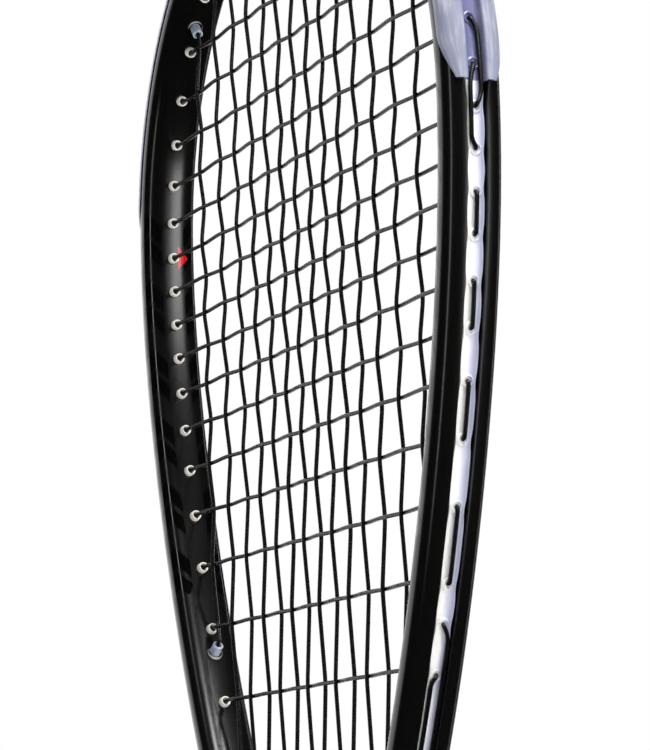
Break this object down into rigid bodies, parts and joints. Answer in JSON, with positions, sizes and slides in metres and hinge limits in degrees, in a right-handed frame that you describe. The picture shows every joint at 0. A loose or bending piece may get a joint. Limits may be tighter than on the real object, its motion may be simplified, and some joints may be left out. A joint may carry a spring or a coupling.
{
  "type": "squash racket",
  "caption": "Teardrop-head squash racket: hollow carbon frame with a frosted head bumper, grommet strips, woven string bed and wrapped handle",
  "frame": {"origin": "centre of the butt's flat end face", "axes": "+Z along the handle to the head's top, X across the head in the plane of the strings, Y through the racket's thickness"},
  "size_m": [0.215, 0.0316, 0.686],
  "materials": {
    "carbon_lacquer": "black lacquer over carbon fibre, satin with gloss blocks on the faces",
    "frosted_bumper": "frosted translucent nylon, bluish white",
    "grommet_nylon": "translucent cream nylon",
    "clear_tube": "clear bluish soft tube",
    "string": "black ribbed synthetic gut",
    "pallet_foam": "rigid foam",
    "weight_putty": "set silicone putty",
    "cap_plastic": "moulded black plastic",
    "plug_plastic": "red moulded plug",
    "staple_steel": "wire",
    "grip_wrap": "perforated black cushioned polyurethane wrap",
    "finishing_tape": "adhesive vinyl tape",
    "collar_rubber": "soft black rubber"
  },
  "bodies": {
    "root": {"frame": "carbon_lacquer", "head_bumper": "frosted_bumper", "grommet_strip_left": "grommet_nylon", "grommet_strip_right": "grommet_nylon", "soft_tube_top_1": "clear_tube", "soft_tube_top_14": "clear_tube", "soft_tube_bottom_1": "clear_tube", "soft_tube_bottom_2": "clear_tube", "soft_tube_bottom_3": "clear_tube", "soft_tube_bottom_4": "clear_tube", "soft_tube_bottom_11": "clear_tube", "soft_tube_bottom_12": "clear_tube", "soft_tube_bottom_13": "clear_tube", "soft_tube_bottom_14": "clear_tube", "main_string": "string", "cross_string": "string", "handle_pallet_front": "pallet_foam", "handle_pallet_back": "pallet_foam", "balance_weight": "weight_putty", "butt_cap": "cap_plastic", "butt_plug": "plug_plastic", "grip_staple": "staple_steel", "grip_wrap": "grip_wrap", "finishing_tape": "finishing_tape", "rubber_collar": "collar_rubber"}
  },
  "joints": []
}
